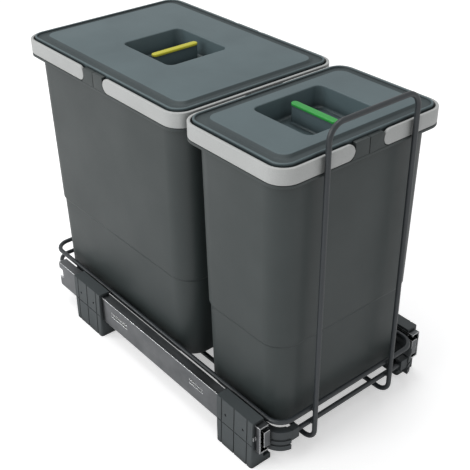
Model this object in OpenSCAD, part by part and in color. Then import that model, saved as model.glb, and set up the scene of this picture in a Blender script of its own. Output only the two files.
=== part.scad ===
// Pull-out bin frame for a narrow base cabinet.
// Two tapered bins with lids stand in a wire carriage, which runs on two ball slides
// held by four feet. +X is to the right, the carriage pulls out along -Y and +Z is up.
// The origin is on the cabinet floor, under the middle of the overall box.

/* [Bins] */
// Front to back length of the large bin across its rim
large_len = 296; // [280:1:300]
// Front to back length of the small bin across its rim
small_len = 146; // [142:0.5:156]
// Gap between the rims of the two bins
bin_gap = 4; // [3:0.5:10]
// Height of a bin from its base to the top of its rim handles
bin_h = 315; // [290:0.5:324]
// Reach of the bin rims beyond the ring wire centre on each side
rim_reach = 4.4; // [1:0.2:4.6]
// Reach of the rim ledge beyond the bin wall
ledge_reach = 3; // [2:0.5:4]
// Inward lean of each bin side between the base and the rim ledge
bin_taper = 3.3; // [2.5:0.1:7]
// Wall of the bins
bin_wall = 2; // [1.6:0.1:2.6]
// Height of the step line above the bin base
step_h = 107; // [60:1:150]
// Depth of the step in the bin wall
step_in = 1.2; // [0.6:0.1:1.5]
// Corner radius of the bin body
body_r = 26; // [22:0.5:32]
// Corner radius of the rim at its outer face
rim_r = 21; // [18:0.5:26]
// Thickness of the ledge that carries the rim handles
ledge_t = 3; // [2:0.1:4]

/* [Rim handles] */
// Thickness of the handle strip
handle_t = 3.5; // [3:0.1:4]
// Height of the handle strip
handle_h = 16.5; // [15:0.5:20]
// Open groove between the handle strip and the bin wall
handle_gap = 1.3; // [1.2:0.1:1.6]
// Distance between the two arm ends on one side of a bin
arm_gap = 38; // [32:0.5:44]
// Diameter of the pivot stubs
pivot_d = 8; // [5:0.5:9]

/* [Lids] */
// Thickness of the lid sheet
lid_t = 2.5; // [2:0.1:3]
// Width of the raised lip round the lid
lip_w = 2.4; // [2:0.1:3.5]
// Rise of the lip above the rim handles
lip_rise = 2.5; // [1:0.1:3]
// Width of the flat channel inside the lip
channel_w = 8; // [5:0.5:9]
// Width of the slope between the channel and the panel
slope_w = 4; // [2:0.1:5]
// Rise of the panel above the channel
panel_rise = 3; // [1.5:0.1:4]
// Depth of the locating skirt below the channel
skirt_h = 7; // [5:0.5:10]
// Size of the finger recess across the grip wall
recess_l = 91; // [80:1:94]
// Size of the finger recess along the grip wall
recess_w = 80; // [72:1:84]
// Corner radius of the finger recess
recess_r = 8; // [5:0.5:12]
// Depth of the finger recess below the panel
recess_h = 24; // [18:1:28]
// Length of the grip wall along the recess
grip_l = 62; // [50:1:66]
// Thickness of the grip wall
grip_t = 5; // [4:0.5:6]
// Height of the coloured insert on the grip wall
insert_h = 3; // [2:0.5:5]
// Depth of the insert top below the panel
grip_drop = 2.4; // [0:0.2:5]

/* [Wire carriage] */
// Diameter of the frame wire
wire_d = 5.5; // [4.5:0.5:6]
// Height of the upper ring above the floor
ring_upper_z = 57; // [54:0.5:64]
// Distance from the upper ring down to the lower ring
ring_drop = 18.3; // [16.5:0.1:19]
// Distance from the front rim of the small bin back to the front run of the rings
ring_front = 1.5; // [-2:0.1:1.8]
// Distance from the back rim of the large bin to the back run of the rings
ring_back_gap = 3.7; // [3:0.1:16]
// Bend radius of the ring corners
ring_r = 18; // [14:0.5:22]
// Distance between the two legs of the hoop
hoop_w = 115.6; // [100:0.2:130]
// Height of the hoop wire centre above the floor
hoop_z = 382; // [370:1:420]
// Bend radius of the hoop corners
hoop_r = 16; // [12:0.5:24]
// Height of the base rod centres above the floor
rod_z = 12.5; // [12:0.1:14]
// Height of the saddle wire centres above the floor
saddle_z = 33.5; // [30:0.5:34]
// Distance from the end of a bin's rim in to its saddle wire
saddle_in = 42; // [36:1:50]

/* [Slides] */
// Length of the ball slides
slide_len = 400; // [380:5:410]
// Height of the ball slides
slide_h = 35; // [34:0.5:36]
// Depth of a slide from web to drawer face
slide_t = 12.7; // [12.5:0.1:13.5]
// Height of the slide centre above the floor
slide_z = 41.7; // [41:0.1:43]
// Distance from the front rim of the small bin back to the slide end
slide_front = 9.8; // [8:0.1:17]
// Sheet thickness of the slide members
steel_t = 1.2; // [1.1:0.05:1.3]
// Diameter of the slide balls
ball_d = 3; // [2.9:0.05:3.1]
// Balls in each row of a cage
ball_count = 6; // [4:1:6]
// Distance between neighbouring balls
ball_pitch = 30; // [20:1:30]

/* [Feet] */
// Overall width across the outer faces of the feet
frame_w = 255.4; // [254:0.2:258]
// Length of a foot
foot_len = 58.6; // [54:0.2:64]
// Height of a foot
foot_h = 63; // [62:0.1:66]
// Inward draft of the foot outer face over its height
foot_draft = 2; // [0.5:0.1:3]
// Wall between the foot outer face and the slide, at floor level
foot_wall = 5.3; // [4.6:0.1:6]
// Height of the foot base that is screwed down
foot_base_h = 8; // [6:0.5:9]
// Reach of the foot base under the slide, from the outer face
foot_reach = 28.5; // [26:0.5:30]
// Distance from the slide front end back to the front foot
front_setback = 7.5; // [5:0.5:16]
// Distance from the rear foot back to the slide rear end
rear_setback = 44.6; // [30:0.2:60]
// Radius of the base screw holes
screw_hole_r = 2.25; // [1.75:0.05:2.5]

/* [Hidden] */
$fn = 64;
HULL_FN = 32;
THIN = 0.01;

// Clearances
rest_gap = 0.3;
run_fit = 0.05;
lip_gap = 0.5;
arm_end_gap = 0.5;
capsule_gap = 0.6;

// Fore and aft places, measured back from the front rim of the small bin
small_mid = small_len / 2;
large_mid = small_len + bin_gap + large_len / 2;
bins_back = small_len + bin_gap + large_len;
ring_back = bins_back + ring_back_gap;
ring_mid = (ring_front + ring_back) / 2;
hoop_y = ring_front - wire_d;
riser_y = ring_back - wire_d;
slide_back = slide_front + slide_len;
foot_front_y = slide_front + front_setback;
foot_rear_y = slide_back - rear_setback - foot_len;
origin_y = (hoop_y + ring_back) / 2;

// Bin sizes, with heights measured from the bin base
bin_base_z = saddle_z + wire_d / 2 + rest_gap;
handle_z = bin_h - handle_h;
pivot_z = bin_h - handle_h / 2;
ledge_z = handle_z - rest_gap - ledge_t;
wall_top = bin_h - lid_t - rest_gap;
groove = handle_t + handle_gap;
rim_wall_r = rim_r - groove;
body_in = groove + ledge_reach;
bin_floor = bin_wall + 0.6;
pivot_x = arm_gap / 2 + handle_h / 2;
pad_half = arm_gap / 2 - arm_end_gap;
seam_w = 1;
seam_d = 0.7;

// Lid sizes
panel_z = bin_h + panel_rise;
skirt_t = 1.6;
insert_w = grip_t + 3;
tongue_w = 2;
tongue_h = 2.5;
grip_top = panel_z - grip_drop - insert_h;
wall_play = 0.2;

// Slide section: depths run inward from the web, heights from the slide centre
web_x = frame_w / 2 - foot_wall;
slide_in_x = web_x - slide_t;
ball_room = 2.4;
cage_t = 0.6;
cage_gap = 0.3;
lip_t = 0.8;
lip_h = 1.2;
race_outer = slide_h / 2 - steel_t;
middle_half = race_outer - ball_room;
race_middle = middle_half - steel_t;
inner_half = race_middle - ball_room;
outer_ball_z = race_outer - ball_room / 2;
inner_ball_z = race_middle - ball_room / 2;
outer_depth = slide_t - steel_t;
middle_depth = outer_depth - 1.1;
outer_cage_d = steel_t + cage_gap;
middle_d = outer_cage_d + cage_t + cage_gap;
inner_cage_d = middle_d + steel_t + cage_gap;
inner_d = inner_cage_d + cage_t + cage_gap;
ball_depth = (inner_d + middle_depth) / 2;
cage_depth = middle_depth - lip_t - 0.5;
cage_len = (ball_count - 1) * ball_pitch + 4 * ball_d;
middle_setback = 7.5;
middle_len = slide_len - 2 * middle_setback;
outer_cage_mid = slide_front + slide_len * 0.48;
inner_cage_mid = slide_front + slide_len * 0.5;
end_cut_l = 8;
end_cut_low = -3.5;
end_cut_high = 8.5;
slot_w = 1.8;
slot_pitch = 5;
slot_z = 3;
slot_front_gap = 29;
slot_rear_gap = 54.6;
slot_front_l = 24;
slot_rear_l = 34;
slot_front_y = foot_front_y + foot_len + slot_front_gap;
slot_rear_y = foot_rear_y - slot_rear_gap;
slots = [[slot_front_y, slot_front_l], [slot_rear_y, slot_rear_l]];
tab_h = 4;
tab_reach = 3.4;

// Carriage places
ring_slide_gap = 2.65;
ring_x = slide_in_x - wire_d / 2 - ring_slide_gap;
bin_w = 2 * (ring_x + rim_reach);
ring_lower_z = ring_upper_z - ring_drop;
hoop_x = hoop_w / 2;
riser_top = ring_upper_z + wire_d;
block_out = slide_in_x - ring_x;
block_cover = 0.8;
block_in = wire_d / 2 + block_cover;
block_under = 14.5;
block_over = 5.6;
block_low = ring_lower_z - wire_d / 2 - block_under;
block_top = ring_lower_z + wire_d / 2 + block_over;
block_arm_y = 91;
block_tab_y = 51;
block_reach = 14;
plate_reach = 11.4;
block_x = ring_x - block_reach;
plate_x = block_x - plate_reach;
plate_inset = 1.2;
plate_over = 4;
plate_low = ring_lower_z - wire_d / 2 - plate_over;
plate_top = ring_lower_z + wire_d / 2 + plate_over;
band_d = 1.2;
band_cuts = [[6.3, 2.6], [13.3, 3.1]];
arm_low = slide_z - inner_half;
clip_gap = 6;
clip_y = foot_rear_y + foot_len + clip_gap;
clip_len = 30;
screw_r = 1.4;
screw_head_r = 2.4;
screw_head_h = 1.3;
screw_tip = 2;
screw_rise = 2.5;
carriage_screw_z = ring_lower_z + wire_d / 2 + screw_rise;
block_screw_in = 10;
front_screw_y = block_arm_y - block_screw_in;
rear_screw_y = clip_y + clip_len / 2;

// Foot details
foot_side_gap = 1.3;
foot_in_x = slide_in_x + foot_side_gap;
foot_r = 3;
base_end_r = 5.4;
rib_w = 1.6;
rib_d = 0.8;
ribs = [8.5, 29.3, 50];
band_z = 31.6;
rivet_r = 1.5;
rivet_sink = 0.8;
rivet_rise = 2.7;
rivet_z = slide_z + rivet_rise;
rivets = [15, 43.5];
head_r = 4.2;
head_h = 3;
foot_screw_in = 6.2;
screw_x = frame_w / 2 - foot_reach + foot_screw_in;
screw_y = foot_len / 2;

function foot_face(z) = frame_w / 2 - foot_draft * z / foot_h;

module placed() { translate([0, -origin_y, 0]) children(); }
module left_side() { mirror([1, 0, 0]) children(); }

// Rectangle with round corners, centred on the origin
module rounded(w, l, r) {
    square([w - 2 * r, l], center = true);
    square([w, l - 2 * r], center = true);
    for (x = [-1, 1], y = [-1, 1])
        translate([x * (w / 2 - r), y * (l / 2 - r)]) circle(r = r);
}

module slab(w, l, r, z, t) { translate([0, 0, z]) linear_extrude(t) rounded(w, l, r); }

// Straight-sided loft between two round-cornered rectangles, inset by in0 and in1
module loft(w, l, r, in0, z0, in1, z1) {
    hull() {
        slab(w - 2 * in0, l - 2 * in0, r, z0, THIN, $fn = HULL_FN);
        slab(w - 2 * in1, l - 2 * in1, r, z1 - THIN, THIN, $fn = HULL_FN);
    }
}

// Prism along Y from an outline given as X and Z
module along_y(y, l) { translate([0, y + l, 0]) rotate([90, 0, 0]) linear_extrude(l) children(); }

// Bins, handles and lids are drawn with the handle arms along X and the pivots along Y
module small_place() { placed() translate([0, small_mid, bin_base_z]) children(); }
module large_place() {
    placed() translate([0, large_mid, bin_base_z]) rotate([0, 0, 90]) children();
}

// ---- Bins ----
function lean(z) = bin_taper * (1 - z / ledge_z);

module bin_cavity(w, l) {
    low = body_in + step_in + bin_wall;
    high = body_in + bin_wall;
    rim_in = groove + bin_wall;
    inner_r = body_r - bin_wall;
    loft(w, l, inner_r, lean(bin_floor) + low, bin_floor, lean(step_h) + low, step_h);
    loft(w, l, inner_r, lean(step_h) + low, step_h - THIN, high, ledge_z + ledge_t);
    slab(w - 2 * rim_in, l - 2 * rim_in, rim_wall_r - bin_wall, ledge_z + ledge_t - THIN, bin_h);
}

// Pad between two arm ends, with a seam down its middle
module centre_pad(l) {
    difference() {
        union() {
            translate([-pad_half, l / 2 - groove - THIN, ledge_z])
                cube([2 * pad_half, groove + THIN, bin_h - ledge_z]);
            translate([-pivot_x, l / 2 - groove - THIN, ledge_z])
                cube([2 * pivot_x, groove + THIN, pivot_z - ledge_z]);
        }
        for (x = [-pivot_x, pivot_x]) translate([x, l / 2 + 1, pivot_z]) rotate([90, 0, 0])
            cylinder(r = handle_h / 2 + capsule_gap, h = groove + 1);
        translate([-seam_w / 2, l / 2 - seam_d, ledge_z - 1]) cube([seam_w, 2 * seam_d, 2 * handle_h]);
    }
}

module bin(w, l) {
    low = body_in + step_in;
    difference() {
        union() {
            loft(w, l, body_r, lean(0) + low, 0, lean(step_h) + low, step_h);
            loft(w, l, body_r, lean(step_h) + body_in, step_h - THIN, body_in, ledge_z + THIN);
            slab(w, l, rim_r, ledge_z, ledge_t);
            slab(w - 2 * groove, l - 2 * groove, rim_wall_r, ledge_z, wall_top - ledge_z);
            centre_pad(l);
            mirror([0, 1, 0]) centre_pad(l);
        }
        bin_cavity(w, l);
        for (x = [-pivot_x, pivot_x]) translate([x, l, pivot_z]) rotate([90, 0, 0])
            cylinder(d = pivot_d + 2 * run_fit, h = 2 * l);
    }
}

module bin_large() { color("#4f5557") large_place() bin(large_len, bin_w); }
module bin_small() { color("#4f5557") small_place() bin(bin_w, small_len); }

// ---- Rim handles ----
// U-shaped strip round the +X end of a rim, with a pivot stub inside each arm end
module rim_handle(w, l) {
    stub_l = handle_t / 2 + handle_gap + bin_wall - wall_play;
    intersection() {
        difference() {
            slab(w, l, rim_r, handle_z, handle_h);
            slab(w - 2 * handle_t, l - 2 * handle_t, rim_r - handle_t, handle_z - 1, handle_h + 2);
        }
        union() {
            translate([pivot_x, -l, 0]) cube([w, 2 * l, 2 * bin_h]);
            translate([pivot_x, l, pivot_z]) rotate([90, 0, 0]) cylinder(r = handle_h / 2, h = 2 * l);
        }
    }
    for (side = [0, 1]) mirror([0, side, 0])
        translate([pivot_x, l / 2 - handle_t / 2, pivot_z]) rotate([90, 0, 0])
            cylinder(d = pivot_d, h = stub_l);
}

module handle_large_rear() { color("#b4b8b9") large_place() rim_handle(large_len, bin_w); }
module handle_large_front() {
    color("#b4b8b9") large_place() mirror([1, 0, 0]) rim_handle(large_len, bin_w);
}
module handle_small_right() { color("#b4b8b9") small_place() rim_handle(bin_w, small_len); }
module handle_small_left() {
    color("#b4b8b9") small_place() mirror([1, 0, 0]) rim_handle(bin_w, small_len);
}

// ---- Lids ----
module insert_outline(w) {
    translate([-w / 2, -grip_l / 2 + w / 2]) square([w, grip_l - w]);
    for (y = [-1, 1]) translate([0, y * (grip_l / 2 - w / 2)]) circle(d = w);
}

module grip_insert() {
    translate([0, 0, grip_top]) linear_extrude(insert_h) insert_outline(insert_w);
    translate([-tongue_w / 2, -grip_l / 4, grip_top - tongue_h]) cube([tongue_w, grip_l / 2, tongue_h]);
}

module lid(w, l) {
    lid_w = w - 2 * groove - 2 * lip_gap;
    lid_l = l - 2 * groove - 2 * lip_gap;
    skirt_in = bin_wall;
    lip_r = rim_wall_r - lip_gap;
    slope_in = lip_w + channel_w;
    panel_in = slope_in + slope_w;
    under_r = rim_wall_r - skirt_in - skirt_t;
    under_z = bin_h - lid_t;
    low = under_z - skirt_h;
    pan_z = panel_z - recess_h - lid_t;
    pan_h = recess_h + lid_t - panel_rise - 1;
    wall_z = pan_z + lid_t / 2;
    tongue_z = grip_top - tongue_h;
    difference() {
        union() {
            difference() {
                slab(lid_w, lid_l, lip_r, under_z, lid_t + lip_rise);
                slab(lid_w - 2 * lip_w, lid_l - 2 * lip_w, lip_r - lip_w, bin_h, lip_rise + 1);
            }
            loft(lid_w, lid_l, lip_r - lip_w, slope_in, bin_h - THIN, panel_in, panel_z);
            slab(lid_w - 2 * skirt_in, lid_l - 2 * skirt_in, rim_wall_r - skirt_in, low, skirt_h + THIN);
        }
        difference() {
            union() {
                slab(lid_w - 2 * skirt_in - 2 * skirt_t, lid_l - 2 * skirt_in - 2 * skirt_t, under_r,
                    low - 1, skirt_h + 1);
                loft(lid_w, lid_l, lip_r - lip_w, slope_in, under_z - 2 * THIN, panel_in, panel_z - lid_t);
            }
            slab(recess_l + 2 * lid_t, recess_w + 2 * lid_t, recess_r + lid_t, low - 2, 2 * bin_h);
        }
        slab(recess_l, recess_w, recess_r, low - 2, 2 * bin_h);
    }
    difference() {
        slab(recess_l + 2 * lid_t, recess_w + 2 * lid_t, recess_r + lid_t, pan_z, pan_h);
        slab(recess_l, recess_w, recess_r, pan_z + lid_t, recess_h + lid_t);
    }
    difference() {
        translate([0, 0, wall_z]) linear_extrude(grip_top - wall_z) insert_outline(grip_t);
        translate([-tongue_w / 2, -grip_l / 4, tongue_z]) cube([tongue_w, grip_l / 2, 2 * tongue_h]);
    }
}

module lid_large() { color("#6f7a7d") large_place() lid(large_len, bin_w); }
module lid_small() { color("#6f7a7d") small_place() lid(bin_w, small_len); }
module grip_insert_large() { color("#c3bf3c") large_place() grip_insert(); }
module grip_insert_small() { color("#3f9142") small_place() grip_insert(); }

// ---- Wire carriage ----
module rod(a, b, r = wire_d / 2) {
    d = b - a;
    translate(a) rotate([0, acos(d[2] / norm(d)), atan2(d[1], d[0])]) cylinder(r = r, h = norm(d));
}

// Quarter bend that starts along +X of its centre and turns towards +Y
module bend(radius, r = wire_d / 2) {
    rotate_extrude(angle = 90) translate([radius, 0]) circle(r = r);
}

// Closed wire ring with wire radius r
module ring(z, r) {
    half_l = (ring_back - ring_front) / 2;
    translate([0, ring_mid, z]) {
        for (side = [-1, 1]) {
            rod([side * ring_x, -half_l + ring_r, 0], [side * ring_x, half_l - ring_r, 0], r);
            rod([-ring_x + ring_r, side * half_l, 0], [ring_x - ring_r, side * half_l, 0], r);
        }
        for (mx = [0, 1], my = [0, 1]) mirror([mx, 0, 0]) mirror([0, my, 0])
            translate([ring_x - ring_r, half_l - ring_r, 0]) bend(ring_r, r);
    }
}

module ring_upper() { color("#4c5153") placed() ring(ring_upper_z, wire_d / 2); }
module ring_lower() { color("#4c5153") placed() ring(ring_lower_z, wire_d / 2); }

module front_hoop() {
    color("#4c5153") placed() {
        rod([-hoop_x + hoop_r, hoop_y, hoop_z], [hoop_x - hoop_r, hoop_y, hoop_z]);
        for (side = [0, 1]) mirror([side, 0, 0]) {
            translate([hoop_x - hoop_r, hoop_y, hoop_z - hoop_r]) rotate([90, 0, 0]) bend(hoop_r);
            rod([hoop_x, hoop_y, rod_z + hoop_r], [hoop_x, hoop_y, hoop_z - hoop_r]);
            translate([hoop_x, hoop_y + hoop_r, rod_z + hoop_r]) rotate([180, 90, 0]) bend(hoop_r);
            rod([hoop_x, hoop_y + hoop_r, rod_z], [hoop_x, riser_y - hoop_r, rod_z]);
            translate([hoop_x, riser_y - hoop_r, rod_z + hoop_r]) rotate([0, 90, 0]) bend(hoop_r);
            rod([hoop_x, riser_y, rod_z + hoop_r], [hoop_x, riser_y, riser_top]);
        }
    }
}

// Cross wires on studs, which carry the bins above the base rods
module bin_saddles() {
    color("#4c5153") placed()
        for (place = [[small_mid, small_len], [large_mid, large_len]], side = [-1, 1]) {
            y = place[0] + side * (place[1] / 2 - saddle_in);
            rod([-hoop_x - wire_d, y, saddle_z], [hoop_x + wire_d, y, saddle_z]);
            for (x = [-hoop_x, hoop_x]) rod([x, y, rod_z + wire_d / 2], [x, y, saddle_z]);
        }
}

// Outline in plan between two offsets from the ring wire centre
module ring_band(out, inward) {
    half_l = (ring_back - ring_front) / 2;
    translate([0, ring_mid]) difference() {
        rounded(2 * (ring_x + out), 2 * (half_l + out), ring_r + out);
        rounded(2 * (ring_x - inward), 2 * (half_l - inward), ring_r - inward);
    }
}

module screw_cut(y) {
    x = slide_in_x - block_out - block_in;
    translate([x - 1, y, carriage_screw_z]) rotate([0, 90, 0])
        cylinder(r = screw_r + run_fit, h = block_out + block_in + steel_t + 2);
    translate([x - 1, y, carriage_screw_z]) rotate([0, 90, 0])
        cylinder(r = screw_head_r + run_fit, h = screw_head_h + 1);
}

module corner_block() {
    difference() {
        union() {
            translate([0, 0, block_low]) linear_extrude(block_top - block_low) intersection() {
                ring_band(block_out, block_in);
                translate([block_x, -block_arm_y]) square([block_arm_y, block_arm_y + block_tab_y]);
            }
            translate([0, 0, arm_low]) linear_extrude(block_top - arm_low) intersection() {
                ring_band(block_out, block_in);
                translate([block_x, 0]) square([block_arm_y, block_arm_y]);
            }
            translate([0, 0, plate_low]) linear_extrude(plate_top - plate_low) intersection() {
                ring_band(block_out - plate_inset, block_in);
                translate([plate_x, -block_arm_y]) square([block_x - plate_x, 2 * block_arm_y]);
            }
        }
        for (cut = band_cuts) translate([0, 0, block_low + cut[0]]) linear_extrude(cut[1]) intersection() {
            ring_band(block_out + 1, band_d - block_out);
            translate([plate_x, -block_arm_y]) square([block_arm_y, block_arm_y + slide_front]);
        }
        ring(ring_lower_z, wire_d / 2 + run_fit);
        screw_cut(front_screw_y);
    }
}
module corner_block_right() { color("#3c4042") placed() corner_block(); }
module corner_block_left() { color("#3c4042") placed() left_side() corner_block(); }

module rear_clip() {
    difference() {
        translate([ring_x - block_in, clip_y, arm_low])
            cube([block_out + block_in, clip_len, block_top - arm_low]);
        ring(ring_lower_z, wire_d / 2 + run_fit);
        screw_cut(rear_screw_y);
    }
}
module rear_clip_right() { color("#3c4042") placed() rear_clip(); }
module rear_clip_left() { color("#3c4042") placed() left_side() rear_clip(); }

module carriage_screws() {
    x = slide_in_x - block_out - block_in;
    color("#b9bcbd") placed() for (side = [0, 1], y = [front_screw_y, rear_screw_y]) mirror([side, 0, 0])
        translate([x, y, carriage_screw_z]) rotate([0, 90, 0]) {
            cylinder(r = screw_head_r, h = screw_head_h);
            cylinder(r = screw_r, h = block_out + block_in + steel_t + screw_tip);
        }
}

// ---- Slides ----
// C section whose web starts at depth d0 and whose flanges reach depth d1
module c_section(d0, d1, half, t) {
    difference() {
        translate([web_x - d1, slide_z - half]) square([d1 - d0, 2 * half]);
        translate([web_x - d1 - 1, slide_z - half + t]) square([d1 - d0 + 1 - t, 2 * (half - t)]);
    }
}

module edge_lips(depth, half) {
    for (side = [-1, 1])
        translate([web_x - depth, slide_z + side * (half - lip_h / 2) - lip_h / 2]) square([lip_t, lip_h]);
}

module ball_grooves(z) {
    for (side = [-1, 1])
        translate([web_x - ball_depth, slide_z + side * z]) circle(d = ball_d + 2 * run_fit);
}

module slide_outer() {
    difference() {
        along_y(slide_front, slide_len) difference() {
            union() {
                c_section(0, outer_depth, slide_h / 2, steel_t);
                edge_lips(outer_depth, race_outer);
            }
            ball_grooves(outer_ball_z);
        }
        translate([web_x - steel_t - 1, slide_back - end_cut_l, slide_z + end_cut_low])
            cube([steel_t + 2, end_cut_l + 1, end_cut_high - end_cut_low]);
        for (slot = slots, side = [-1, 1])
            translate([web_x - steel_t - 1, slot[0], slide_z + slot_z + side * slot_pitch / 2 - slot_w / 2])
                cube([steel_t + 2, slot[1], slot_w]);
        rivet_places() cylinder(r = rivet_r + run_fit, h = 4 * foot_wall, center = true);
    }
    translate([web_x - THIN, foot_front_y - steel_t, slide_z - tab_h / 2]) cube([tab_reach, steel_t, tab_h]);
    translate([web_x - steel_t, foot_front_y - steel_t, slide_z - tab_h / 2]) cube([steel_t, steel_t, tab_h]);
}
module slide_outer_right() { color("#85878a") placed() slide_outer(); }
module slide_outer_left() { color("#85878a") placed() left_side() slide_outer(); }

module slide_middle() {
    along_y(slide_front + middle_setback, middle_len) difference() {
        union() {
            c_section(middle_d, middle_depth, middle_half, steel_t);
            edge_lips(middle_depth, race_middle);
        }
        ball_grooves(outer_ball_z);
        ball_grooves(inner_ball_z);
    }
}
module slide_middle_right() { color("#9a9c9e") placed() slide_middle(); }
module slide_middle_left() { color("#9a9c9e") placed() left_side() slide_middle(); }

module slide_inner() {
    difference() {
        union() {
            along_y(slide_front, slide_len) difference() {
                translate([slide_in_x, slide_z - inner_half]) square([slide_t - inner_d, 2 * inner_half]);
                translate([slide_in_x + steel_t, slide_z - inner_half + steel_t])
                    square([slide_t - inner_d, 2 * (inner_half - steel_t)]);
                ball_grooves(inner_ball_z);
            }
            translate([slide_in_x, slide_front - steel_t, slide_z - inner_half])
                cube([slide_t - inner_d, steel_t, 2 * inner_half]);
        }
        screw_cut(front_screw_y);
        screw_cut(rear_screw_y);
    }
}
module slide_inner_right() { color("#a6a8aa") placed() slide_inner(); }
module slide_inner_left() { color("#a6a8aa") placed() left_side() slide_inner(); }

module ball_places(mid, z) {
    for (i = [0 : ball_count - 1], side = [-1, 1])
        translate([web_x - ball_depth, mid + (i - (ball_count - 1) / 2) * ball_pitch, slide_z + side * z])
            children();
}

module cage(d0, z, mid) {
    difference() {
        along_y(mid - cage_len / 2, cage_len) c_section(d0, cage_depth, z + cage_t / 2, cage_t);
        ball_places(mid, z) cylinder(d = ball_d + 2 * run_fit, h = 4 * cage_t, center = true);
    }
}

module balls(z, mid) { ball_places(mid, z) sphere(d = ball_d); }

module outer_cage_right() { color("#c9a24a") placed() cage(outer_cage_d, outer_ball_z, outer_cage_mid); }
module outer_cage_left() {
    color("#c9a24a") placed() left_side() cage(outer_cage_d, outer_ball_z, outer_cage_mid);
}
module inner_cage_right() { color("#c9a24a") placed() cage(inner_cage_d, inner_ball_z, inner_cage_mid); }
module inner_cage_left() {
    color("#c9a24a") placed() left_side() cage(inner_cage_d, inner_ball_z, inner_cage_mid);
}
module outer_balls_right() { color("#d8dadc") placed() balls(outer_ball_z, outer_cage_mid); }
module outer_balls_left() { color("#d8dadc") placed() left_side() balls(outer_ball_z, outer_cage_mid); }
module inner_balls_right() { color("#d8dadc") placed() balls(inner_ball_z, inner_cage_mid); }
module inner_balls_left() { color("#d8dadc") placed() left_side() balls(inner_ball_z, inner_cage_mid); }

// ---- Feet ----
module rivet_places() {
    for (foot = [foot_front_y, foot_rear_y], place = rivets)
        translate([web_x, foot + place, rivet_z]) rotate([0, 90, 0]) children();
}

module foot_section() {
    in_x = frame_w / 2 - foot_reach;
    difference() {
        union() {
            polygon([[frame_w / 2, 0], [foot_face(foot_h), foot_h], [foot_in_x, foot_h], [foot_in_x, 0]]);
            translate([in_x, 0]) square([foot_reach / 2, foot_base_h - base_end_r]);
            translate([in_x + base_end_r, 0]) square([foot_reach / 2, foot_base_h]);
            translate([in_x + base_end_r, foot_base_h - base_end_r]) circle(r = base_end_r);
        }
        translate([in_x, slide_z - slide_h / 2]) square([web_x - in_x, slide_h]);
        translate([in_x, -base_end_r * 2]) square([foot_reach, base_end_r * 2]);
    }
}

module foot() {
    in_x = frame_w / 2 - foot_reach;
    difference() {
        intersection() {
            along_y(0, foot_len) foot_section();
            translate([in_x + foot_reach / 2, foot_len / 2, 0]) linear_extrude(foot_h)
                rounded(foot_reach, foot_len, foot_r);
        }
        for (rib = ribs) along_y(rib - rib_w / 2, rib_w)
            polygon([[foot_face(0) - rib_d, -1], [foot_face(0) + 1, -1],
                [foot_face(foot_h) + 1, foot_h + 1], [foot_face(foot_h) - rib_d, foot_h + 1]]);
        translate([foot_face(band_z) - rib_d, -1, band_z - rib_w / 2])
            cube([foot_draft + 1, foot_len + 2, rib_w]);
        translate([screw_x, screw_y, -1]) cylinder(r = screw_hole_r, h = foot_base_h + 2);
        translate([screw_x, screw_y, foot_base_h - head_h]) cylinder(r = head_r, h = head_h + 1);
    }
}

module foot_at(y) {
    difference() {
        translate([0, y, 0]) foot();
        rivet_places() cylinder(r = rivet_r + run_fit, h = 4 * foot_wall, center = true);
    }
}

module foot_front_right() { color("#4a4e50") placed() foot_at(foot_front_y); }
module foot_front_left() { color("#4a4e50") placed() left_side() foot_at(foot_front_y); }
module foot_rear_right() { color("#4a4e50") placed() foot_at(foot_rear_y); }
module foot_rear_left() { color("#4a4e50") placed() left_side() foot_at(foot_rear_y); }

module foot_rivets() {
    rivet_places() translate([0, 0, -steel_t])
        cylinder(r = rivet_r, h = foot_face(rivet_z) - web_x + steel_t - rivet_sink);
}
module foot_rivets_right() { color("#b9bcbd") placed() foot_rivets(); }
module foot_rivets_left() { color("#b9bcbd") placed() left_side() foot_rivets(); }

foot_front_left();
foot_front_right();
foot_rear_left();
foot_rear_right();
foot_rivets_left();
foot_rivets_right();
slide_outer_left();
slide_outer_right();
outer_cage_left();
outer_cage_right();
outer_balls_left();
outer_balls_right();
slide_middle_left();
slide_middle_right();
inner_cage_left();
inner_cage_right();
inner_balls_left();
inner_balls_right();
slide_inner_left();
slide_inner_right();
ring_upper();
ring_lower();
front_hoop();
bin_saddles();
corner_block_left();
corner_block_right();
rear_clip_left();
rear_clip_right();
carriage_screws();
bin_large();
bin_small();
handle_large_front();
handle_large_rear();
handle_small_left();
handle_small_right();
lid_large();
lid_small();
grip_insert_large();
grip_insert_small();
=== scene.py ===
"""Pull-out bin frame: two lidded bins in a wire carriage on ball slides.

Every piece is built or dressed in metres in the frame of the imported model: +X is to the
right, the carriage pulls out along -Y and +Z is up from the cabinet floor.
"""

from __future__ import annotations

import logging
import math
from dataclasses import dataclass, field
from enum import Enum
from typing import Sequence

import bpy
from mathutils import Matrix, Vector


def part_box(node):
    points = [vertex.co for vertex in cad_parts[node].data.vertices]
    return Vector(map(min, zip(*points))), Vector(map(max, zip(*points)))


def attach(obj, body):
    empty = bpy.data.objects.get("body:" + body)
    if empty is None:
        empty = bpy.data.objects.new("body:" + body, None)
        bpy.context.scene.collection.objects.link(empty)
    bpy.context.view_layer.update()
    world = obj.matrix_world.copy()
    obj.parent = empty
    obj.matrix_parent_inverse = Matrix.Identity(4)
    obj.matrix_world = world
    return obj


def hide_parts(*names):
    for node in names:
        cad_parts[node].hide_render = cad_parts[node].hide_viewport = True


MM = 0.001
# Steps round a corner of an outline, round an edge in a profile and round a handle's edge
CORNER_STEPS = 12
ARC_STEPS = 6
EDGE_STEPS = 4
# Points round a wire
TUBE_SIDES = 24
# How near a surface has to be to cast painted shade on another, and the tone of the fullest painted shade in
# a groove
PAINTED_SHADE_REACH = 12 * MM
PAINTED_SHADE_TONE = "#7C8080"

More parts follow.
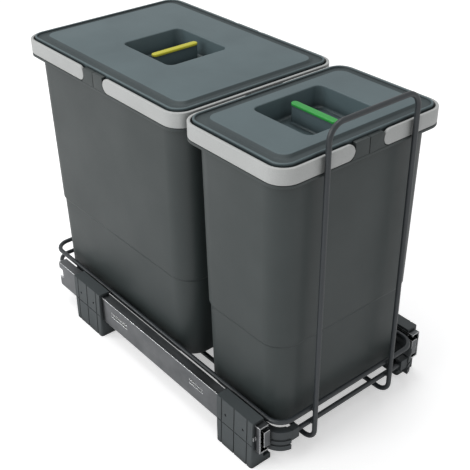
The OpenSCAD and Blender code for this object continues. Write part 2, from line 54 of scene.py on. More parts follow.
log = logging.getLogger("bin_frame")
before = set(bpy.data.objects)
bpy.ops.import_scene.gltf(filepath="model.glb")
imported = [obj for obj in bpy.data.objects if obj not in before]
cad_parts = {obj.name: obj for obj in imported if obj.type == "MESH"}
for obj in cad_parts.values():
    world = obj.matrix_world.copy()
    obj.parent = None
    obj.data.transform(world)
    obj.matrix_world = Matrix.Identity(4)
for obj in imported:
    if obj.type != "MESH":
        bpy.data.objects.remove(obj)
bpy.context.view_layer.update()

Point2 = tuple[float, float]
Loop = Sequence[Sequence[float]]
# Inset from the outside, height and corner radius of a loop
Station = tuple[float, float, float]
# Place, outward direction and half height of a handle's section
StripStation = tuple[Vector, Vector, float]


# Finishes


def linear(code: str) -> tuple[float, float, float, float]:
    """Turns an sRGB hex code into linear RGBA.

    Args:
        code: The colour as "#RRGGBB".

    Returns:
        The colour in linear light, with an alpha of 1.
    """
    parts = [int(code[i : i + 2], 16) / 255 for i in (1, 3, 5)]
    channels = [p / 12.92 if p <= 0.04045 else ((p + 0.055) / 1.055) ** 2.4 for p in parts]
    return (channels[0], channels[1], channels[2], 1.0)


def add_node(
    tree: bpy.types.NodeTree, kind: str, settings: dict | None = None, links: dict | None = None
) -> bpy.types.Node:
    """Adds one shader node, sets it and links its inputs.

    Args:
        tree: The material's node tree.
        kind: The node type, such as "ShaderNodeTexNoise".
        settings: Input names or numbers, or the node's own properties, with their values.
        links: Input names or numbers, with the sockets that feed them.

    Returns:
        The new node.
    """
    node = tree.nodes.new(kind)
    for key, value in (settings or {}).items():
        if isinstance(key, int) or key in node.inputs:
            node.inputs[key].default_value = value
        else:
            setattr(node, key, value)
    for key, socket in (links or {}).items():
        tree.links.new(socket, node.inputs[key])
    return node


class Spread(Enum):
    """How a surface pattern is stretched over a piece."""

    EVEN = (1.0, 1.0, 1.0)
    ALONG_Y = (1.0, 0.02, 1.0)
    UPRIGHT = (1.0, 1.0, 0.12)


@dataclass(frozen=True)
class Finish:
    """A surface: its colours, its sheen, the grain that its making leaves, and painted shade in its grooves.

    Attributes:
        name: What the material is and how it was made.
        body: Main colour.
        drift: Colour that large soft patches drift towards.
        rub_and_highlight_tone: Colour of rubbed edges, and on the slides of a painted highlight along the
            bends.
        metallic: 1 for bare metal.
        rough: Lowest and highest roughness.
        grain_mm: Size of the grain. A real one of 0.2 mm doesn't show, so it is drawn coarser.
        grain_depth_mm: Depth of the grain.
        patch_mm: Size of the colour patches.
        edge_mm: Radius that a mould or a press leaves on edges.
        rub_and_highlight_strength: Strength of that edge colour.
        rub_and_highlight_gaps: Grain levels between which the edge line fades in.
        spread: Stretch of the grain.
        coat: Strength of a clear coat.
        ior: Index of refraction. A metal keeps the shader's own 1.5.
        painted_shade: How much painted shade darkens grooves and corners.
    """

    name: str
    body: str
    drift: str
    rub_and_highlight_tone: str
    metallic: float = 0.0
    rough: Point2 = (0.42, 0.55)
    grain_mm: float = 1.1
    grain_depth_mm: float = 0.05
    patch_mm: float = 70.0
    edge_mm: float = 0.6
    rub_and_highlight_strength: float = 0.35
    rub_and_highlight_gaps: Point2 = (0.35, 0.55)
    spread: Spread = Spread.EVEN
    coat: float = 0.0
    ior: float = 1.49
    painted_shade: float = 0.7

    def material(self) -> bpy.types.Material:
        """Returns the Blender material, built once per finish."""
        made = bpy.data.materials.get(self.name)
        return made if made else self._build()

    def _build(self) -> bpy.types.Material:
        """Builds the node tree of this finish.

        Returns:
            The new material.
        """
        material = bpy.data.materials.new(self.name)
        material.use_nodes = True
        tree = material.node_tree
        tree.nodes.clear()
        place = add_node(tree, "ShaderNodeTexCoord").outputs["Object"]
        stretched = add_node(
            tree, "ShaderNodeMapping", {"Scale": self.spread.value}, {"Vector": place}
        ).outputs["Vector"]
        grain = add_node(
            tree,
            "ShaderNodeTexNoise",
            {"Scale": 1 / (self.grain_mm * MM), "Detail": 3.0, "Roughness": 0.6},
            {"Vector": stretched},
        ).outputs["Fac"]
        patches = add_node(
            tree,
            "ShaderNodeTexNoise",
            {"Scale": 1 / (self.patch_mm * MM), "Detail": 4.0, "Roughness": 0.55},
            {"Vector": place},
        ).outputs["Fac"]
        drift_share = add_node(
            tree, "ShaderNodeMapRange", {"From Min": 0.35, "From Max": 0.7}, {"Value": patches}
        ).outputs["Result"]
        drifted = add_node(
            tree,
            "ShaderNodeMix",
            {"data_type": "RGBA", 6: linear(self.body), 7: linear(self.drift)},
            {0: drift_share},
        ).outputs[2]
        grained = add_node(
            tree,
            "ShaderNodeMix",
            {"data_type": "RGBA", "blend_type": "OVERLAY", 0: 0.12},
            {6: drifted, 7: grain},
        ).outputs[2]
        rounded = add_node(
            tree, "ShaderNodeBevel", {"samples": 6, "Radius": self.edge_mm * MM}
        ).outputs["Normal"]
        # Painted shade darkens the grooves, then the edges lighten: rubbed on most finishes, a painted
        # highlight on the slides.
        coloured = self._rubbed_and_highlit_edges(tree, self._painted_groove_shade(tree, grained), rounded, grain)
        relief = add_node(
            tree,
            "ShaderNodeBump",
            {"Strength": 0.6, "Distance": self.grain_depth_mm * MM},
            {"Height": grain, "Normal": rounded},
        ).outputs["Normal"]
        both = add_node(tree, "ShaderNodeMix", {0: 0.5}, {2: grain, 3: patches}).outputs[0]
        roughness = add_node(
            tree,
            "ShaderNodeMapRange",
            {"From Min": 0.3, "From Max": 0.7, "To Min": self.rough[0], "To Max": self.rough[1]},
            {"Value": both},
        ).outputs["Result"]
        shader = add_node(
            tree,
            "ShaderNodeBsdfPrincipled",
            {"Metallic": self.metallic, "IOR": self.ior, "Coat Weight": self.coat},
            {"Base Color": coloured, "Roughness": roughness, "Normal": relief},
        )
        if self.metallic and self.spread is Spread.ALONG_Y:
            shader.inputs["Anisotropic"].default_value = 0.45
        if self.coat:
            shader.inputs["Coat Roughness"].default_value = 0.25
        add_node(tree, "ShaderNodeOutputMaterial", {}, {"Surface": shader.outputs["BSDF"]})
        return material

    def _painted_groove_shade(
        self, tree: bpy.types.NodeTree, colour: bpy.types.NodeSocket
    ) -> bpy.types.NodeSocket:
        """Darkens grooves and inner corners with painted shade, where little light falls.

        Args:
            tree: The material's node tree.
            colour: Colour of the open surface.

        Returns:
            The colour with painted shade in its grooves.
        """
        # Painted shade: the colour darkens where other surfaces are near, as if little light reached it.
        openness = add_node(
            tree, "ShaderNodeAmbientOcclusion", {"samples": 8, "Distance": PAINTED_SHADE_REACH}
        ).outputs["AO"]
        shade_share = add_node(
            tree,
            "ShaderNodeMapRange",
            {"From Min": 0.95, "From Max": 0.5, "To Max": self.painted_shade},
            {"Value": openness},
        ).outputs["Result"]
        return add_node(
            tree,
            "ShaderNodeMix",
            {"data_type": "RGBA", "blend_type": "MULTIPLY", 7: linear(PAINTED_SHADE_TONE)},
            {0: shade_share, 6: colour},
        ).outputs[2]

    def _rubbed_and_highlit_edges(
        self,
        tree: bpy.types.NodeTree,
        colour: bpy.types.NodeSocket,
        rounded: bpy.types.NodeSocket,
        grain: bpy.types.NodeSocket,
    ) -> bpy.types.NodeSocket:
        """Lightens the edges in a broken line: rubbing on most finishes, and a painted highlight along the
        slides' bends.

        Args:
            tree: The material's node tree.
            colour: Colour of the surface away from the edges.
            rounded: Normal that is rounded at edges.
            grain: Pattern that breaks the worn line up.

        Returns:
            The colour with lightened edges.
        """
        true_normal = add_node(tree, "ShaderNodeNewGeometry").outputs["Normal"]
        facing = add_node(
            tree, "ShaderNodeVectorMath", {"operation": "DOT_PRODUCT"}, {0: rounded, 1: true_normal}
        ).outputs["Value"]
        edge = add_node(
            tree,
            "ShaderNodeMapRange",
            {"From Min": 0.995, "From Max": 0.86, "To Max": self.rub_and_highlight_strength},
            {"Value": facing},
        ).outputs["Result"]
        gap_low, gap_high = self.rub_and_highlight_gaps
        gaps = add_node(
            tree, "ShaderNodeMapRange", {"From Min": gap_low, "From Max": gap_high}, {"Value": grain}
        ).outputs["Result"]
        broken = add_node(
            tree, "ShaderNodeMath", {"operation": "MULTIPLY"}, {0: edge, 1: gaps}
        ).outputs["Value"]
        # Mixes in the edge colour: rubbing on most finishes, a near-white painted highlight on the slides.
        return add_node(
            tree, "ShaderNodeMix", {"data_type": "RGBA", 7: linear(self.rub_and_highlight_tone)}, {0: broken, 6: colour}
        ).outputs[2]

    def dress(self, node: str) -> None:
        """Gives a CAD node this finish.

        Args:
            node: Name of the CAD node.
        """
        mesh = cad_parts[node].data
        mesh.materials.clear()
        mesh.materials.append(self.material())


# Injection-moulded polypropylene: a satin sheen that breaks up in a fine spark-eroded grain.
BIN_PLASTIC = Finish(
    "polypropylene_dark_grey_moulded", "#373E3E", "#333A3A", "#626969", rough=(0.40, 0.52)
)
# The same plastic in blue grey, a little glossier.
LID_PLASTIC = Finish(
    "polypropylene_blue_grey_moulded",
    "#536367",
    "#4E5D61",
    "#7B898D",
    rough=(0.38, 0.5),
    painted_shade=1.0,
)
# The same plastic, rougher and painted darker in the channel round the lid's panel: painted shade for that
# channel.
LID_CHANNEL_SHADE = Finish(
    "polypropylene_blue_grey_channel_shade", "#3A4547", "#364144", "#5E6A6D", rough=(0.5, 0.62), painted_shade=0.8
)
# The same plastic in light grey from a smoother mould: its grain is hardly seen.
HANDLE_PLASTIC = Finish(
    "polypropylene_light_grey_moulded",
    "#B3B5B4",
    "#ADAFAE",
    "#CBCDCC",
    rough=(0.36, 0.48),
    grain_depth_mm=0.03,
)
# Injection-moulded ABS: a clearer gloss than the polypropylene round it.
GRIP_YELLOW = Finish(
    "abs_yellow_moulded", "#C2BE35", "#B9B52F", "#D8D465", rough=(0.3, 0.4), grain_depth_mm=0.02
)
# The same ABS in green.
GRIP_GREEN = Finish(
    "abs_green_moulded", "#2F9A41", "#2A8F3B", "#62B870", rough=(0.3, 0.4), grain_depth_mm=0.02
)
# Glass-filled nylon: duller than the bins, with a coarser grain.
FOOT_PLASTIC = Finish(
    "nylon_anthracite_moulded", "#43494B", "#3D4345", "#666C6F", rough=(0.5, 0.64), grain_mm=1.3,
    grain_depth_mm=0.07,
)
# The same nylon in a darker batch, a little glossier where it slides over the wire.
CLIP_PLASTIC = Finish(
    "nylon_black_grey_moulded", "#3A3F42", "#34393B", "#5E6467", rough=(0.45, 0.6)
)
# Powder coat on steel wire: a soft gloss over a slight orange peel.
WIRE_COAT = Finish(
    "powder_coat_anthracite",
    "#31363A",
    "#2D3235",
    "#505659",
    rough=(0.34, 0.46),
    grain_mm=1.6,
    grain_depth_mm=0.06,
    coat=0.15,
    rub_and_highlight_strength=0.1,
)
# Zinc-plated roll-formed steel: rolling lines run along the slide and streak its highlight,
# and a near-white highlight is painted along the bends.
SLIDE_ZINC = Finish(
    "zinc_plated_steel_rolled",
    "#7E8082",
    "#6C6E71",
    # Near-white edge colour: a painted highlight along the bends.
    "#F6F8F9",
    metallic=1.0,
    rough=(0.26, 0.42),
    grain_mm=0.7,
    grain_depth_mm=0.015,
    patch_mm=30.0,
    edge_mm=1.1,
    rub_and_highlight_strength=1.0,
    rub_and_highlight_gaps=(0.05, 0.25),
    spread=Spread.ALONG_Y,
    ior=1.5,
)
# Pressed steel with a yellow passivation: a warm gloss with soft edges.
CAGE_STEEL = Finish(
    "yellow_passivated_steel_pressed", "#B5A878", "#A89A6C", "#D6CDA8", metallic=1.0,
    rough=(0.3, 0.45), grain_depth_mm=0.01, edge_mm=0.2, ior=1.5,
)
# Polished bearing steel: a clean mirror with no lightened edge line.
BALL_STEEL = Finish(
    "bearing_steel_polished", "#D6D8DA", "#CBCDD0", "#EEF0F1", metallic=1.0, rough=(0.08, 0.16),
    grain_depth_mm=0.002, edge_mm=0.1, rub_and_highlight_strength=0.0, ior=1.5,
)
# Cold-headed steel with bright zinc: a small hard highlight on each head.
RIVET_STEEL = Finish(
    "bright_zinc_steel_headed", "#BCBFC1", "#AEB1B3", "#E2E4E5", metallic=1.0, rough=(0.2, 0.34),
    grain_depth_mm=0.01, edge_mm=0.3, ior=1.5,
)


# Mesh tools


def rounded_loop(half_x: float, half_y: float, radius: float) -> list[Point2]:
    """Outline of a round-cornered rectangle, anticlockwise from its +X side.

    Args:
        half_x: Half of the size along X.
        half_y: Half of the size along Y.
        radius: Corner radius.

    Returns:
        The same number of points for any size, so that loops can be bridged.
    """
    radius = max(min(radius, half_x, half_y), 0.0001)
    points = []
    for quarter, (sx, sy) in enumerate(((1, 1), (-1, 1), (-1, -1), (1, -1))):
        for step in range(CORNER_STEPS + 1):
            turn = (quarter + step / CORNER_STEPS) * math.pi / 2
            points.append(
                (
                    sx * (half_x - radius) + radius * math.cos(turn),
                    sy * (half_y - radius) + radius * math.sin(turn),
                )
            )
    return points


def fillet(start: float, end: float) -> list[Point2]:
    """Unit points of an arc from one angle to another, in degrees, ends included."""
    turns = [math.radians(start + (end - start) * i / ARC_STEPS) for i in range(ARC_STEPS + 1)]
    return [(math.cos(t), math.sin(t)) for t in turns]


class Shell:
    """A mesh that grows loop by loop, with neighbouring loops bridged by quads."""

    def __init__(self) -> None:
        """Starts an empty mesh."""
        self.points: list[Vector] = []
        self.faces: list[tuple[int, ...]] = []

    def loop(self, points: Loop) -> range:
        """Adds a loop of points.

        Args:
            points: The loop's points, in order.

        Returns:
            The numbers of the new points.
        """
        start = len(self.points)
        self.points += [Vector(p) for p in points]
        return range(start, len(self.points))

    def bridge(self, lower: range, upper: range) -> None:
        """Joins two loops that have as many points.

        Args:
            lower: Numbers of the first loop's points.
            upper: Numbers of the second loop's points.
        """
        for i in range(len(lower)):
            j = (i + 1) % len(lower)
            self.faces.append((lower[i], lower[j], upper[j], upper[i]))

    def sleeve(self, loops: Sequence[Loop]) -> list[range]:
        """Adds loops in order and bridges each to the next.

        Args:
            loops: The loops, with as many points in each.

        Returns:
            The numbers of each loop's points.
        """
        rows = [self.loop(points) for points in loops]
        for lower, upper in zip(rows, rows[1:]):
            self.bridge(lower, upper)
        return rows

    def stack(self, loops: Sequence[Loop]) -> None:
        """Adds a sleeve of loops and closes both of its ends.

        Args:
            loops: The loops, with as many points in each.
        """
        rows = self.sleeve(loops)
        self.faces.append(tuple(reversed(rows[0])))
        self.faces.append(tuple(rows[-1]))

    def piece(self, name: str, finish: Finish, crease_deg: float = 40.0) -> bpy.types.Object:
        """Makes the Blender object.

        Args:
            name: Name of the piece.
            finish: Its surface.
            crease_deg: Edges sharper than this stay crisp.

        Returns:
            The new object, linked to the scene.
        """
        mesh = bpy.data.meshes.new(name)
        mesh.from_pydata(self.points, [], self.faces)
        mesh.validate()
        mesh.shade_smooth()
        mesh.set_sharp_from_angle(angle=math.radians(crease_deg))
        mesh.materials.append(finish.material())
        return link_object(name, mesh)


def link_object(name: str, data: bpy.types.ID) -> bpy.types.Object:
    """Makes an object and links it to the scene.

    Args:
        name: Name of the object.
        data: Its mesh, lamp or camera.

    Returns:
        The new object.
    """
    made = bpy.data.objects.new(name, data)
    bpy.context.scene.collection.objects.link(made)
    return made


def axes_matrix(x: Vector, y: Vector, z: Vector, origin: Vector) -> Matrix:
    """Returns the matrix whose axes point along x, y and z from an origin."""
    return Matrix([(x[i], y[i], z[i], origin[i]) for i in range(3)] + [(0, 0, 0, 1)])


def settle(piece: bpy.types.Object, body: str, slot: str, *nodes: str) -> bpy.types.Object:
    """Puts a piece on its body and hides the nodes that it stands for.

    Args:
        piece: The piece.
        body: CAD body that it rides on.
        slot: Material slot of its finish. Not used.
        nodes: CAD nodes that it replaces.

    Returns:
        The same piece.
    """
    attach(piece, body)
    if nodes:
        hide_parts(*nodes)
    return piece


def prism(
    outline: Sequence[Point2], low: float, high: float, soft: float, to_frame: Matrix
) -> list[list[Vector]]:
    """Loops of a prism whose two ends have a soft edge.

    Args:
        outline: Anticlockwise outline.
        low: Start of the prism along its own Z.
        high: End of the prism along its own Z.
        soft: Radius of the soft edges.
        to_frame: Where the prism goes.

    Returns:
        The loops from low to high.
    """
    steps = [(soft * (1 - c), low + soft * (1 + s)) for c, s in fillet(-90, 0)]
    steps += [(soft * (1 - c), high - soft * (1 - s)) for c, s in fillet(0, 90)]
    return [
        [to_frame @ Vector((x, y, z)) for x, y in shrink(outline, inset)] for inset, z in steps
    ]


def shrink(outline: Sequence[Point2], inset: float) -> list[Point2]:
    """Moves each point of an anticlockwise outline inwards.

    Args:
        outline: The outline.
        inset: Distance to move each side by.

    Returns:
        The smaller outline, with as many points.
    """
    count = len(outline)
    moved = []
    for i, (x, y) in enumerate(outline):
        before, after = Vector(outline[i - 1]), Vector(outline[(i + 1) % count])
        here = Vector((x, y))
        first, second = (here - before).normalized(), (after - here).normalized()
        n1, n2 = Vector((-first.y, first.x)), Vector((-second.y, second.x))
        mean = (n1 + n2).normalized()
        reach = inset / max(mean.dot(n1), 0.5)
        moved.append((x + mean.x * reach, y + mean.y * reach))
    return moved


def tube_loops(path: Sequence[Vector], radius: float, closed: bool) -> list[list[Vector]]:
    """Round sections along a path, turned as little as possible from one to the next.

    Args:
        path: Points of the centre line.
        radius: Radius of the wire.
        closed: Whether the path is a ring.

    Returns:
        One loop of points per point of the path.
    """
    count = len(path)
    loops = []
    side: Vector | None = None
    for i, here in enumerate(path):
        before = path[i - 1] if (closed or i) else here
        after = path[(i + 1) % count] if (closed or i < count - 1) else here
        ahead = (after - before).normalized()
        if side is None:
            side = ahead.orthogonal().normalized()
        side = (side - ahead * side.dot(ahead)).normalized()
        up = ahead.cross(side)
        loops.append(
            [
                here + (side * math.cos(t) + up * math.sin(t)) * radius
                for t in (2 * math.pi * k / TUBE_SIDES for k in range(TUBE_SIDES))
            ]
        )
    return loops


def rounded_route(corners: Sequence[Vector], radius: float, closed: bool) -> list[Vector]:
    """Line through corners, with each corner bent to a radius.

    Args:
        corners: The corners of the bent wire.
        radius: Bend radius of its centre line.
        closed: Whether the wire is a ring.

    Returns:
        Points along the bent line.
    """
    route: list[Vector] = []
    count = len(corners)
    for i, corner in enumerate(corners):
        if not closed and i in (0, count - 1):
            route.append(corner.copy())
            continue
        back = (corners[i - 1] - corner).normalized()
        on = (corners[(i + 1) % count] - corner).normalized()
        middle = corner + (back + on) * radius
        for step in range(CORNER_STEPS + 1):
            turn = step / CORNER_STEPS * math.pi / 2
            route.append(middle - on * radius * math.cos(turn) - back * radius * math.sin(turn))
    return route


# Sub-assemblies


@dataclass
class Rim:
    """Sizes that a bin, its handles and its lid share.

    Attributes:
        handle_t: Thickness of the handle strip.
        handle_h: Height of the handle strip.
        groove_w: Open groove between the strip and the bin wall.
        radius: Corner radius at the outside of the handles.
        arm_gap: Distance between the two arm ends on one side.
        ledge_reach: Reach of the ledge beyond the wall under it.
    """

    handle_t: float = 3.5 * MM
    handle_h: float = 16.5 * MM
    groove_w: float = 1.3 * MM
    radius: float = 21 * MM
    arm_gap: float = 38 * MM
    ledge_reach: float = 3 * MM

    @property
    def wall_in(self) -> float:
        """Distance from the outside of the handles to the rim wall behind them."""
        return self.handle_t + self.groove_w

    @property
    def body_in(self) -> float:
        """Distance from the outside of the handles to the bin wall under the ledge."""
        return self.wall_in + self.ledge_reach

    @property
    def pivot(self) -> float:
        """Distance from the middle of a side to a handle's pivot."""
        return self.arm_gap / 2 + self.handle_h / 2


@dataclass
class Bin:
    """One tapered bin with the pads between its handle arms.

    Attributes:
        node: CAD node that it stands for.
        body: CAD body that it rides on.
        arms_along_x: Whether the handle arms run along X.
        rim: Sizes of the rim.
        taper: How far the wall leans in from the ledge down to the base.
        wall: Thickness of the wall.
        step_z: Height of the step in the wall.
        step_in: How far the wall is set in below the step.
        step_soft: Half of the height over which the step fades.
        corner_r: Corner radius of the wall.
        base_r: Radius of the edge between the wall and the base.
        stand_w: Width of the ring that the bin stands on.
        hollow_h: Height of the hollow inside that ring.
        ledge_t: Thickness of the ledge under the handles.
        rest_gap: Gap between a handle at rest and the ledge.
        lid_lip: How far the rim wall ends below the top of the handles.
        edge_r: Radius of the ledge's edges.
        cove: Radius of the hollow corner under the ledge.
        floor_t: Thickness of the floor.
        floor_r: Radius between the floor and the inside of the wall.
        pad_edge: Radius of the edges of the pads between the handle arms.
        pad_seam: Half of the gap between the two halves of a pad.
        pad_gap: Gap between a pad and a handle's round end.
    """

    node: str
    body: str
    arms_along_x: bool
    rim: Rim = field(default_factory=Rim)
    taper: float = 3.3 * MM
    wall: float = 2 * MM
    step_z: float = 107 * MM
    step_in: float = 1.2 * MM
    step_soft: float = 3.0 * MM
    corner_r: float = 26 * MM
    base_r: float = 4 * MM
    stand_w: float = 8 * MM
    hollow_h: float = 1.2 * MM
    ledge_t: float = 3 * MM
    rest_gap: float = 0.3 * MM
    lid_lip: float = 2.8 * MM
    edge_r: float = 0.6 * MM
    cove: float = 2 * MM
    floor_t: float = 2.6 * MM
    floor_r: float = 6 * MM
    pad_edge: float = 0.5 * MM
    pad_seam: float = 0.35 * MM
    pad_gap: float = 0.6 * MM

    def __post_init__(self) -> None:
        """Takes the bin's place and overall size from its CAD node."""
        low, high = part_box(self.node)
        self.centre = (low + high) / 2
        self.half_x = (high.x - low.x) / 2
        self.half_y = (high.y - low.y) / 2
        self.base = low.z
        self.height = high.z - low.z
        self.ledge_top = self.height - self.rim.handle_h - self.rest_gap
        self.ledge_low = self.ledge_top - self.ledge_t

    def ring(self, inset: float, z: float, radius: float) -> list[tuple[float, float, float]]:
        """Returns a loop round the bin, set in from its rim, at a height above its base."""
        outline = rounded_loop(self.half_x - inset, self.half_y - inset, radius)
        return [(x + self.centre.x, y + self.centre.y, self.base + z) for x, y in outline]

    def side_inset(self, z: float) -> float:
        """Says how far the outer wall is set in from the rim.

        Args:
            z: Height above the bin's base.

        Returns:
            The inset at that height.
        """
        lean = self.taper * (1 - z / self.ledge_low)
        share = min(max((self.step_z - z) / self.step_soft + 0.5, 0.0), 1.0)
        step = self.step_in * share * share * (3 - 2 * share)
        return self.rim.body_in + lean + step

    def outer_profile(self) -> list[Station]:
        """Goes up the outside, from the hollow under the base to the rim's top.

        Returns:
            The stations in order.
        """
        foot, stand, r = self.side_inset(0), self.stand_w, self.corner_r
        middle_r, hollow_r, stand_r = r - 12 * MM, r - 8 * MM, r - 6 * MM
        slope = 2 * MM
        rows = [
            (foot + 2 * stand, self.hollow_h, middle_r),
            (foot + stand + slope, self.hollow_h, hollow_r),
            (foot + stand, 0.0, stand_r),
        ]
        for c, s in fillet(-90, 0):
            inset = self.base_r * (1 - c)
            rows.append((foot + inset, self.base_r * (1 + s), r - inset))
        step_low, step_high = self.step_z - self.step_soft, self.step_z + self.step_soft
        under = self.ledge_low - self.cove
        heights = [self.base_r + (step_low - self.base_r) * k / 2 for k in (1, 2)]
        heights += [step_low + (step_high - step_low) * k / 8 for k in range(1, 9)]
        heights += [step_high + (under - step_high) * k / 3 for k in (1, 2, 3)]
        rows += [(self.side_inset(z), z, r) for z in heights]
        for c, s in fillet(180, 90):
            inset = self.rim.body_in - self.cove * (1 + c)
            rows.append((inset, under + self.cove * s, r - self.cove * (1 + c)))
        return rows + self.ledge_profile()

    def ledge_profile(self) -> list[Station]:
        """Goes round the ledge and up the wall behind the handles.

        Returns:
            The stations in order.
        """
        e, wall_in, r = self.edge_r, self.rim.wall_in, self.rim.radius
        rows = []
        for c, s in fillet(-90, 0):
            rows.append((e * (1 - c), self.ledge_low + e * (1 + s), r - e * (1 - c)))
        for c, s in fillet(0, 90):
            rows.append((e * (1 - c), self.ledge_top - e * (1 - s), r - e * (1 - c)))
        for c, s in fillet(-90, -180):
            rows.append((wall_in - e * (1 + c), self.ledge_top + e * (1 + s), r - wall_in))
        top = self.height - self.lid_lip
        half = self.wall / 2
        for c, s in fillet(0, 180):
            inset = wall_in + half * (1 - c)
            rows.append((inset, top - half * (1 - s), r - inset))
        return rows

    def inner_profile(self) -> list[Station]:
        """Goes down the inside, from the ledge to the middle of the floor.

        Returns:
            The stations in order.
        """
        inner_r = self.corner_r - self.wall
        wall_in = self.rim.wall_in + self.wall
        rim_r = self.rim.radius - wall_in
        step, floor_in, middle_r = 1 * MM, 20 * MM, 8 * MM
        rows = [(wall_in, self.ledge_top + step, rim_r), (wall_in + self.edge_r, self.ledge_top, rim_r)]
        low, high = self.floor_t + self.floor_r, self.ledge_top - self.edge_r
        for k in (4, 3, 2, 1, 0):
            z = low + (high - low) * k / 4
            rows.append((self.side_inset(z) + self.wall, z, inner_r))
        foot = self.side_inset(self.floor_t) + self.wall
        for c, s in fillet(0, -90):
            inset = self.floor_r * (1 - c)
            rows.append((foot + inset, self.floor_t + self.floor_r * (1 + s), inner_r - inset))
        rows.append((foot + floor_in, self.floor_t, middle_r))
        return rows

    def shell(self) -> bpy.types.Object:
        """Builds the tapered shell.

        Returns:
            The piece.
        """
        made = Shell()
        made.stack([self.ring(*row) for row in self.outer_profile() + self.inner_profile()])
        return made.piece(f"{self.node}_shell", BIN_PLASTIC)

    def pad_outline(self) -> list[Point2]:
        """Right half of a pad between two arms, anticlockwise.

        Returns:
            Points as distance along the side and height above the bin's base.
        """
        seam, corner = self.pad_seam, 2 * self.pad_gap
        soft, lift = corner * 0.3, 0.5 * MM
        pocket = self.rim.handle_h / 2 + self.pad_gap
        half = self.rim.arm_gap / 2 - self.pad_edge
        pivot, pivot_z = self.rim.pivot, self.height - self.rim.handle_h / 2
        tail, tail_deg, arc_steps = 2.5 * MM, 12, 8
        top = self.height - 0.2 * MM
        low = self.ledge_top - 0.1 * MM
        start = math.degrees(math.asin(min((pivot_z - low) / pocket, 1.0))) - tail_deg
        points = [(seam, low), (pivot - tail, low)]
        for i in range(arc_steps + 1):
            turn = math.radians(180 + start * (1 - i / arc_steps))
            points.append((pivot + pocket * math.cos(turn), pivot_z + pocket * math.sin(turn)))
        points += [(half, pivot_z + lift), (half, top - corner)]
        return points + [(half - soft, top - soft), (half - corner, top), (seam, top)]

    def pad(self, side: int, hand: int) -> bpy.types.Object:
        """Builds one half of a pad.

        Args:
            side: Which side of the bin, 1 or -1.
            hand: Which half of the pad, 1 or -1.

        Returns:
            The piece.
        """
        reach = self.half_y if self.arms_along_x else self.half_x
        out = Vector((0, side, 0)) if self.arms_along_x else Vector((side, 0, 0))
        along = Vector((0, 0, 1)).cross(out)
        outline = self.pad_outline()
        if hand < 0:
            outline = [(-u, z) for u, z in reversed(outline)]
        place = Vector((self.centre.x, self.centre.y, self.base))
        to_frame = axes_matrix(along, Vector((0, 0, 1)), out, place)
        made = Shell()
        low = reach - self.rim.wall_in - self.rest_gap
        made.stack(prism(outline, low, reach, self.pad_edge, to_frame))
        return made.piece(f"{self.node}_pad_{side_name(side)}_{side_name(hand)}", BIN_PLASTIC)

    def build(self) -> list[bpy.types.Object]:
        """Builds the bin's shell and pads and puts them on their body.

        Returns:
            The shell and the four halves of the pads.
        """
        shell = settle(self.shell(), self.body, "bin_plastic", self.node)
        pads = [self.pad(side, hand) for side in (-1, 1) for hand in (-1, 1)]
        return [shell] + [settle(pad, self.body, "bin_plastic") for pad in pads]


def side_name(side: int) -> str:
    """Returns a word for a side."""
    return "high" if side > 0 else "low"


